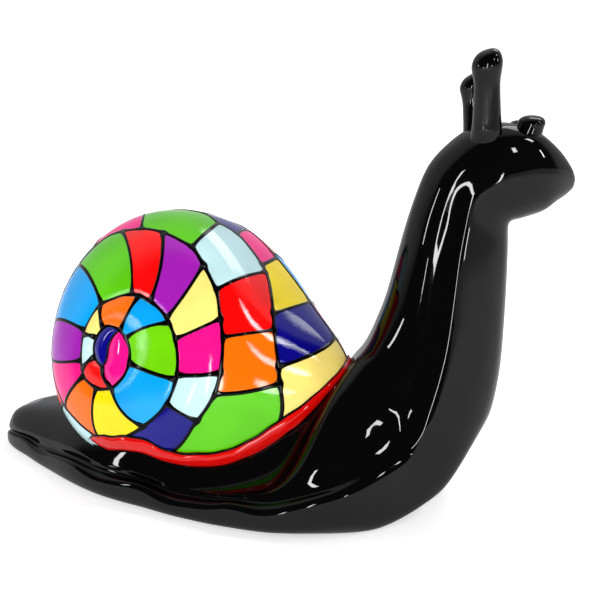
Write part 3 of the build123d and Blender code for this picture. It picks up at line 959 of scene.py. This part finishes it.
def make_middle(cells, paints, line_paint):
    """The navy and the pink cell in the middle, and the line between them."""
    first, last = cells[0][:2]
    curve = finer([flat(*read_pixel(pixel)) for pixel in middle_curve_pixels], 6)
    share = math.atan2(curve[0][1], curve[0][0]) / (2 * math.pi)
    top = share + round(0.48 - share)
    curve[0], curve[-1] = seam_flat(top), seam_flat(first)
    navy_side = seam_flat(np.linspace(first, top, 40))
    pink_side = seam_flat(np.linspace(top, last + 1, 40))
    across = np.linspace(0, 1, 12)
    turns = first * (1 - across) + last * across
    pink_inner = np.concatenate([curve, flat(strip_tau(turns, across), turns)[1:]])
    for tone, sides in (("navy", (navy_side[::-1], curve)), ("pink", (pink_inner, pink_side))):
        make_piece("shell_middle_" + tone, *lens(*sides, 40, 20), [paints[tone]], "shell_paint")
    tau, angle = from_flat(curve)
    normals = dome_normals(tau, angle)
    line = dome_points(tau, angle) + normals * (whorl_edge + 0.6)
    make_piece("shell_middle_line", *bead(line, normals, np.full(len(line), 1.4), 1.1),
               [line_paint], "black_lacquer")


# Collar

# Middle line of the collar: its start and its far side as tau and angle on the shell, and
# between them pixels of the photograph
collar_start_places = [(35, -104), (32, -97)]
collar_pixels = [
    (112, 443), (126, 443), (145, 446), (164, 454), (183, 458.5), (200, 459.5), (221, 458),
    (240, 452), (260, 442.5), (281, 428), (298, 416), (317, 399), (329, 387), (340, 376),
]
collar_far_places = [
    (104.3, 9), (114.8, 12.2), (129.1, 11.6), (137.4, 5.2), (141.4, -3.3), (146.1, -10.4),
    (153.5, -16), (160.2, -22.4), (166.5, -32.6), (171.4, -60.7), (172.6, -111.1),
    (165.9, -142.8),
]
collar_half_height = 8.2
collar_half_thick = 5.5
collar_thin_reach = 18
collar_thin_length = 24
collar_thin_share = 0.5


def plan_collar():
    """Points of the collar's middle line on the shell, and their outward normals."""
    seen = [(tau, (float(angle_of(share)) + 180) % 360 - 180)
            for tau, share in map(read_pixel, collar_pixels)]
    tau, angle = finer(collar_start_places + seen + collar_far_places, 8).T
    both = np.concatenate([dome_points(tau, angle), dome_normals(tau, angle)], axis=1)
    both = evenly(both, 320)
    return both[:, :3], unit(both[:, 3:])


collar_line, collar_normals = plan_collar()
collar_foot = plan_foot()


def make_collar(paint, line_paint):
    """Red lip of uneven thickness, and the black line along its upper edge."""
    along = np.linspace(0, 1, len(collar_line))
    taper = np.clip(np.minimum(along, 1 - along) / 0.05, 0.02, 1) ** 0.5
    ahead = part_way(collar_line[:, 0], collar_thin_reach, collar_thin_length)
    taper = taper * (1 - (1 - collar_thin_share) * ahead)
    wobble = 1 + 0.05 * np.sin(along * 61) + 0.04 * np.sin(along * 143 + 1)
    points, faces = tube(collar_line, collar_normals, collar_half_height * taper * wobble,
                         collar_half_thick * taper * (2 - wobble), 28, 0.8)
    make_piece("collar_skin", points, faces, [paint], "red_lacquer", ("mantle_collar",))
    tangent = unit(np.gradient(collar_line, axis=0))
    rise = unit(np.cross(tangent, collar_normals))
    inward = shell_centre + np.array([0, 0, 60]) - collar_line
    rise = rise * np.sign(np.sum(rise * inward, axis=1))[:, None]
    edge = collar_half_height * taper * wobble * 0.97
    top = collar_line + rise * edge[:, None] + collar_normals * 1.6
    points, faces = bead(top, collar_normals, np.full(len(top), 1.6) * taper, 1.2)
    make_piece("collar_line", points, faces, [line_paint], "black_lacquer")


# Tentacles

tip_limit = cad_high.z / metre
long_profile = [(0, 14), (0.12, 17.5), (0.22, 17.2), (0.30, 15.4), (0.40, 13.9), (0.54, 12.9),
                (0.68, 12.3), (0.76, 12.5), (0.84, 14.0), (0.91, 14.7), (1, 14.4)]
thin_profile = [(0, 11), (0.14, 14), (0.26, 13.6), (0.38, 11.8), (0.54, 10.8), (0.70, 10.3),
                (0.80, 11.0), (0.90, 12.2), (1, 12)]
short_profile = [(0, 17), (0.25, 17), (0.45, 15.4), (0.62, 13.6), (0.8, 12.6), (0.9, 12.6),
                 (1, 12)]
# Name, foot and tip as reach, sideways and height, radii up the stalk, slope of the crown
tentacles = [
    ("long_tentacle_right", (175, -14, 332), (169, -22, 447), long_profile, 16),
    ("long_tentacle_left", (178, 18, 332), (172, 29, 420), thin_profile, 24),
    ("short_tentacle_right", (203, -13, 338), (215, -18, 384), short_profile, 16),
    ("short_tentacle_left", (210, 12, 338), (223, 13, 376), short_profile, 16),
]
crown_share = 0.86
slant_start_share = 0.55
# How far a stalk's foot leans in towards the middle of the head, and up to which height
stalk_inset = 20
inset_reach_share = 0.36


def head_place(reach, sideways, height):
    return np.array(plan_place(reach, height)) + sideways_at(heading_at(reach)) * sideways


def tentacle(name, foot, tip, profile, slope_angle, paint):
    """Round stalk with a flared foot and a rounded crown that rises to the front."""
    start, end = head_place(*foot), head_place(*tip)
    length = np.linalg.norm(end - start)
    axis = (end - start) / length
    side = sideways_at(heading_at(foot[0]))
    side = unit(side - axis * side.dot(axis))
    ahead = np.cross(side, axis)
    shares, radii = finer(profile, 6).T
    bend = np.linspace(0, math.pi / 2, 22)[1:]
    heights = np.concatenate([np.linspace(0, crown_share, 34),
                              crown_share + (1 - crown_share) * np.sin(bend)])
    drawn = np.concatenate([np.ones(34), np.cos(bend) ** 0.55])
    radius = np.interp(heights, shares, radii) * np.maximum(drawn, 0.02)
    turn = np.linspace(0, 2 * math.pi, 48, endpoint=False)
    circle = ahead * np.cos(turn)[:, None] + side * np.sin(turn)[:, None]
    leaning = (1 - part_way(heights, 0, inset_reach_share)) ** 1.2
    inset = stalk_inset * leaning * -np.sign(foot[1])
    middle = start + axis * (heights * length)[:, None] + side * inset[:, None]
    rings = middle[:, None] + circle * radius[:, None, None]
    slanted = part_way(heights, slant_start_share, 1 - slant_start_share) ** 1.5
    slant = slanted * math.tan(math.radians(slope_angle))
    rise = np.cos(turn) * (radius * slant)[:, None]
    rings = rings + axis * rise[..., None]
    rings[..., 2] = np.minimum(rings[..., 2], tip_limit)
    make_piece(name + "_skin", rings.reshape(-1, 3), tube_faces(*rings.shape[:2]), [paint],
               "black_lacquer", (name,))


# Hidden pieces keep their solids and get a finish each

def dress_solids():
    finishes = {
        "base_plate": plain_finish("cover_board", (0.16, 0.11, 0.07), 0.8, 160, 0.4),
        "floor_pads": plain_finish("pad_felt", (0.05, 0.05, 0.055), 0.95, 900, 0.5),
        "rim_blocks": plain_finish("block_wood", (0.42, 0.25, 0.12), 0.65, 60, 0.45, (1, 9, 9)),
        "shell_joint_ring": plain_finish("strip_resin", (0.5, 0.47, 0.36), 0.5, 40, 0.2),
    }
    steel = plain_finish("bright_steel", (0.55, 0.55, 0.56), 0.32, 400, 0.15, (1, 1, 6), 1)
    for name in ("tentacle_pins", "base_screws", "shell_bolts", "bolt_washers", "bolt_nuts"):
        finishes[name] = steel
    for name, material in finishes.items():
        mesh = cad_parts[name].data
        mesh.materials.clear()
        mesh.materials.append(material)


# Floor and light

# Glow of the floor, near and far, and between which distances behind the object it grows
floor_glow = (0.45, 0.85)
floor_glow_reach = (-0.25, 1.6)
floor_ends = (-30, 30)


def paler_behind(nodes, links, source, start, stop, near, far):
    """Strength that grows from near to far with the distance behind the object."""
    behind = nodes.new("ShaderNodeVectorMath")
    behind.operation = "DOT_PRODUCT"
    behind.inputs[1].default_value = (-view_back[0], -view_back[1], 0)
    fade = nodes.new("ShaderNodeMapRange")
    set_inputs(fade, {"From Min": start, "From Max": stop, "To Min": near, "To Max": far})
    links.new(source, behind.inputs[0])
    links.new(behind.outputs["Value"], fade.inputs["Value"])
    return fade.outputs["Result"]


def make_floor():
    """Pale floor that shows white to the camera and in reflections."""
    material, nodes, links, shader = new_material("pale_floor")
    set_inputs(shader, {"Roughness": 0.9, "Base Color": (0.84, 0.84, 0.84, 1),
                        "Specular IOR Level": 0.1})
    place = nodes.new("ShaderNodeNewGeometry").outputs["Position"]
    strength = paler_behind(nodes, links, place, *floor_glow_reach, *floor_glow)
    glow = nodes.new("ShaderNodeEmission")
    adder = nodes.new("ShaderNodeAddShader")
    pick = nodes.new("ShaderNodeMixShader")
    links.new(strength, glow.inputs["Strength"])
    links.new(shader.outputs["BSDF"], adder.inputs[0])
    links.new(glow.outputs["Emission"], adder.inputs[1])
    links.new(seen_rays(nodes, links), pick.inputs["Fac"])
    links.new(shader.outputs["BSDF"], pick.inputs[1])
    links.new(adder.outputs["Shader"], pick.inputs[2])
    links.new(pick.outputs["Shader"], nodes["Material Output"].inputs["Surface"])
    mesh = bpy.data.meshes.new("floor")
    mesh.from_pydata([(x, y, 0) for x in floor_ends for y in floor_ends], [], [(0, 2, 3, 1)])
    mesh.materials.append(material)
    floor = added("floor", mesh)


def seen_rays(nodes, links):
    """1 for camera and glossy rays."""
    path = nodes.new("ShaderNodeLightPath")
    most = nodes.new("ShaderNodeMath")
    most.operation = "MAXIMUM"
    for at, name in enumerate(("Is Camera Ray", "Is Glossy Ray")):
        links.new(path.outputs[name], most.inputs[at])
    return most.outputs["Value"]


def lamp(name, place, size, power, seen):
    """Rectangular soft lamp. One that isn't seen leaves no reflection."""
    data = bpy.data.lights.new(name, "AREA")
    data.shape = "RECTANGLE"
    data.size, data.size_y = size
    data.energy = power
    holder = added(name, data)
    holder.location = place
    holder.rotation_euler = Vector(place - light_aim).to_track_quat("Z", "Y").to_euler()
    holder.visible_glossy = seen


light_aim = np.array([0, 0, 0.2])
# Glow of the room in front and behind, and between which directions it grows
room_glow = (0.05, 0.80)
room_glow_reach = (-0.02, 0.20)


def make_room():
    """Dark room in front of the object and a pale wall behind it."""
    world = bpy.data.worlds.new("studio")
    world.use_nodes = True
    nodes, links = world.node_tree.nodes, world.node_tree.links
    direction = nodes.new("ShaderNodeTexCoord").outputs["Generated"]
    strength = paler_behind(nodes, links, direction, *room_glow_reach, *room_glow)
    background = nodes["Background"]
    background.inputs["Color"].default_value = (0.96, 0.97, 1, 1)
    links.new(strength, background.inputs["Strength"])
    bpy.context.scene.world = world


def make_light():
    make_room()
    lamp("wide_key", np.array([0.9, -2.7, 1.1]), (2.2, 1.6), 28, False)
    lamp("wide_fill", np.array([-1.9, -2.0, 1.4]), (2.0, 1.8), 16, False)
    # Turn, height angle, distance, width and height, power of the lamps that show as highlights
    for name, turn, high, distance, size, power in (
            ("strip_spire", -51, 14, 2.4, (0.13, 0.42), 6),
            ("strip_low", -5, 0, 2.4, (0.13, 0.34), 5),
            ("strip_second", 22, 9, 2.5, (0.17, 1.00), 22),
            ("patch_low", 55, 4, 2.4, (0.12, 0.30), 5),
            ("patch_middle", 71, 31, 2.4, (0.12, 0.34), 5),
            ("patch_high", 104, 44, 2.4, (0.20, 0.36), 8),
            ("strip_cheek", 100, 20, 2.4, (0.10, 0.45), 7),
            ("back_light", 172, 46, 3.0, (1.6, 0.9), 26)):
        lamp(name, light_aim + direction(turn, high) * distance, size, power, True)


make_camera()
black = lacquer("black_lacquer", (0.0012, 0.0012, 0.0014), False, 1.50, 0.45)
line_black = lacquer("line_black", (0.0006, 0.0006, 0.0007), False, 1.22)
red = lacquer("red_lacquer", (0.66, 0.003, 0.002), False)
paints = {name: lacquer("paint_" + name, colour, True, 1.45, 0.75)
          for name, colour in colours.items()}
make_body(black)
shell_cells = make_shell(paints)
make_lines(shell_cells, line_black)
make_middle(shell_cells, paints, line_black)
make_collar(red, line_black)
for row in tentacles:
    tentacle(*row, black)
dress_solids()
make_floor()
make_light()
bpy.context.scene.view_settings.view_transform = "Standard"
